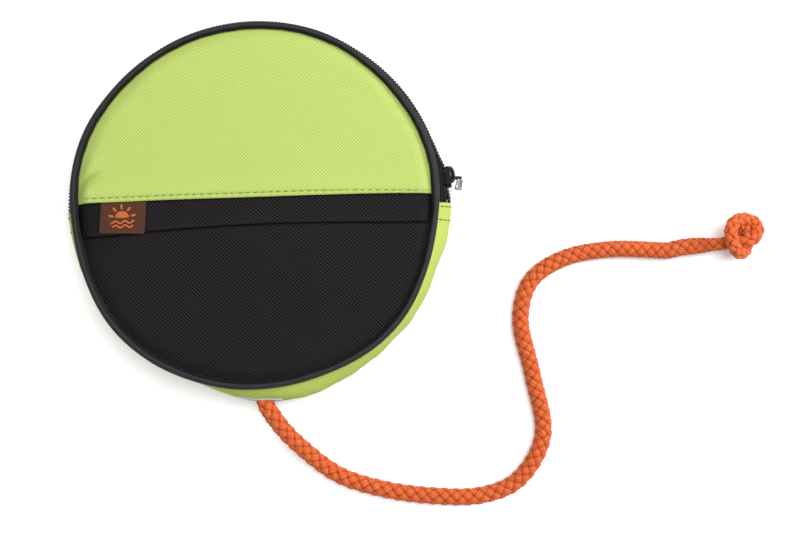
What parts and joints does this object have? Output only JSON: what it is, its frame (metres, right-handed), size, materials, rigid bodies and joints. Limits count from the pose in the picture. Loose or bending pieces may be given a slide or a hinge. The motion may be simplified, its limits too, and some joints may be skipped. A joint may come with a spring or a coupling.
{
  "type": "throw rope bag",
  "caption": "Round flat pouch with a zipped fold-down front, a pocket under a black band, and a braided throw rope that leaves the gusset and ends in a knot.",
  "frame": {"origin": "centre of the flat back face that the pouch lies on", "axes": "+Z out through the front face, +X along the front hem seam with the zip slider at its +X end, +Y towards the middle of the zip; the rope leaves the gusset at -Y"},
  "size_m": [0.3565, 0.2567, 0.0321],
  "materials": {
    "lime_fabric": "woven polyester",
    "black_fabric": "woven polyester",
    "piping_fabric": "woven bias tape over cord",
    "zip_tape": "knitted tape",
    "zip_coil": "satin moulded",
    "slider_metal": "satin black",
    "tab_metal": "gunmetal",
    "rope_fibre": "braided multifilament",
    "label_weave": "woven",
    "patch_fabric": "woven tape"
  },
  "bodies": {
    "bag": {"back_panel": "black_fabric", "back_piping": "piping_fabric", "back_seam_binding": "black_fabric", "gusset_lower": "lime_fabric", "rope_exit_patch": "patch_fabric", "zip_tape_back": "zip_tape", "zip_coil_back": "zip_coil", "zip_tape_front_right_end": "zip_tape", "zip_tape_front_left_end": "zip_tape", "zip_coil_front_right_end": "zip_coil", "zip_coil_front_left_end": "zip_coil", "zip_stop_right": "tab_metal", "zip_stop_left": "tab_metal", "front_hem_panel": "lime_fabric", "front_backing_panel": "black_fabric", "front_pocket_panel": "black_fabric", "front_piping_lower": "piping_fabric", "front_seam_binding_lower": "black_fabric", "rope_stopper_knot": "rope_fibre", "rope_root": "rope_fibre"},
    "front_flap": {"front_upper_panel": "lime_fabric", "front_piping_upper": "piping_fabric", "zip_tape_front": "zip_tape", "zip_coil_front": "zip_coil", "front_seam_binding_upper": "black_fabric"},
    "pocket_flap": {"pocket_band": "black_fabric", "woven_label": "label_weave"},
    "zip_slider": {"slider_body": "slider_metal"},
    "zip_pull_tab": {"pull_tab": "tab_metal"},
    "rope_1": {"rope_1": "rope_fibre"},
    "rope_2": {"rope_2": "rope_fibre"},
    "rope_3": {"rope_3": "rope_fibre"},
    "rope_4": {"rope_4": "rope_fibre"},
    "rope_5": {"rope_5": "rope_fibre"},
    "rope_6": {"rope_6": "rope_fibre"},
    "rope_7": {"rope_7": "rope_fibre"},
    "rope_8": {"rope_8": "rope_fibre", "rope_end_knot": "rope_fibre"}
  },
  "joints": [
    {"name": "front_flap_hinge", "type": "hinge", "parent": "bag", "child": "front_flap", "pos_m": [0, 0.017, 0.0324], "axis": [1, 0, 0], "range_deg": [0, 110]},
    {"name": "pocket_flap_hinge", "type": "hinge", "parent": "bag", "child": "pocket_flap", "pos_m": [0, 0.003, 0.0325], "axis": [-1, 0, 0], "range_deg": [0, 35]},
    {"name": "zip_slider_travel", "type": "hinge", "parent": "bag", "child": "zip_slider", "pos_m": [0, 0, 0.016], "axis": [0, 0, 1], "range_deg": [0, 167]},
    {"name": "pull_tab_hinge", "type": "hinge", "parent": "zip_slider", "child": "zip_pull_tab", "pos_m": [0.09896, 0.01128, 0.016], "axis": [0, 0, 1], "range_deg": [-8, 55]},
    {"name": "rope_swing", "type": "hinge", "parent": "bag", "child": "rope_1", "pos_m": [0.00298, -0.10789, 0.01522], "axis": [0, 0, 1], "range_deg": [-35, 10]},
    {"name": "rope_lift", "type": "hinge", "parent": "rope_1", "child": "rope_2", "pos_m": [0.02349, -0.13232, 0.00588], "axis": [-0.6765, -0.7365, 0], "range_deg": [0, 45]},
    {"name": "rope_bend_3", "type": "hinge", "parent": "rope_2", "child": "rope_3", "pos_m": [0.06504, -0.15058, 0.0047], "axis": [0, 0, 1], "range_deg": [-35, 12]},
    {"name": "rope_bend_4", "type": "hinge", "parent": "rope_3", "child": "rope_4", "pos_m": [0.11069, -0.1537, 0.0047], "axis": [0, 0, -1], "range_deg": [-12, 35]},
    {"name": "rope_bend_5", "type": "hinge", "parent": "rope_4", "child": "rope_5", "pos_m": [0.14173, -0.12381, 0.0047], "axis": [0, 0, 1], "range_deg": [-35, 25]},
    {"name": "rope_bend_6", "type": "hinge", "parent": "rope_5", "child": "rope_6", "pos_m": [0.13465, -0.07855, 0.0047], "axis": [0, 0, -1], "range_deg": [-35, 35]},
    {"name": "rope_bend_7", "type": "hinge", "parent": "rope_6", "child": "rope_7", "pos_m": [0.14566, -0.03727, 0.0047], "axis": [0, 0, 1], "range_deg": [-35, 35]},
    {"name": "rope_bend_8", "type": "hinge", "parent": "rope_7", "child": "rope_8", "pos_m": [0.19011, -0.02885, 0.0047], "axis": [0, 0, -1], "range_deg": [-35, 35]}
  ]
}
